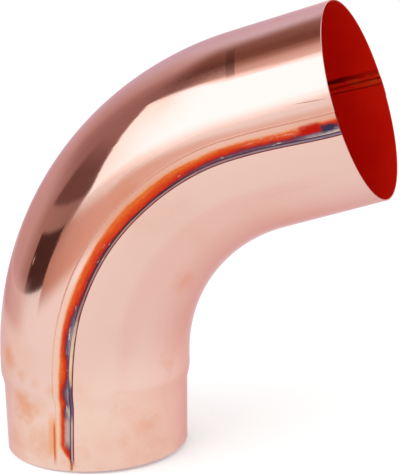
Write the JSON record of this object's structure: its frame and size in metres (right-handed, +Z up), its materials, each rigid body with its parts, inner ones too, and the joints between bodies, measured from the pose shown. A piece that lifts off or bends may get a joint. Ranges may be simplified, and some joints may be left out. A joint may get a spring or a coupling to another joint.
{
  "type": "downspout elbow",
  "caption": "Round copper downspout elbow with a wide swept bend, a plain socket at the top, a drawn-in spigot at the foot and brazed lap seams along its sides.",
  "frame": {"origin": "centre of the spigot's rim, which the elbow stands on", "axes": "+Z up the spigot's axis into the elbow, +X towards the socket, the bend in the XZ plane"},
  "size_m": [0.2115, 0.1034, 0.2418],
  "materials": {
    "copper_sheet": "bright rolled copper, mirror-like outside and deep red inside",
    "braze_filler": "grey brazing filler with blue and red heat tint beside it"
  },
  "bodies": {
    "root": {"heel_half_shell": "copper_sheet", "throat_half_shell": "copper_sheet", "right_seam_braze": "braze_filler", "left_seam_braze": "braze_filler"}
  },
  "joints": []
}
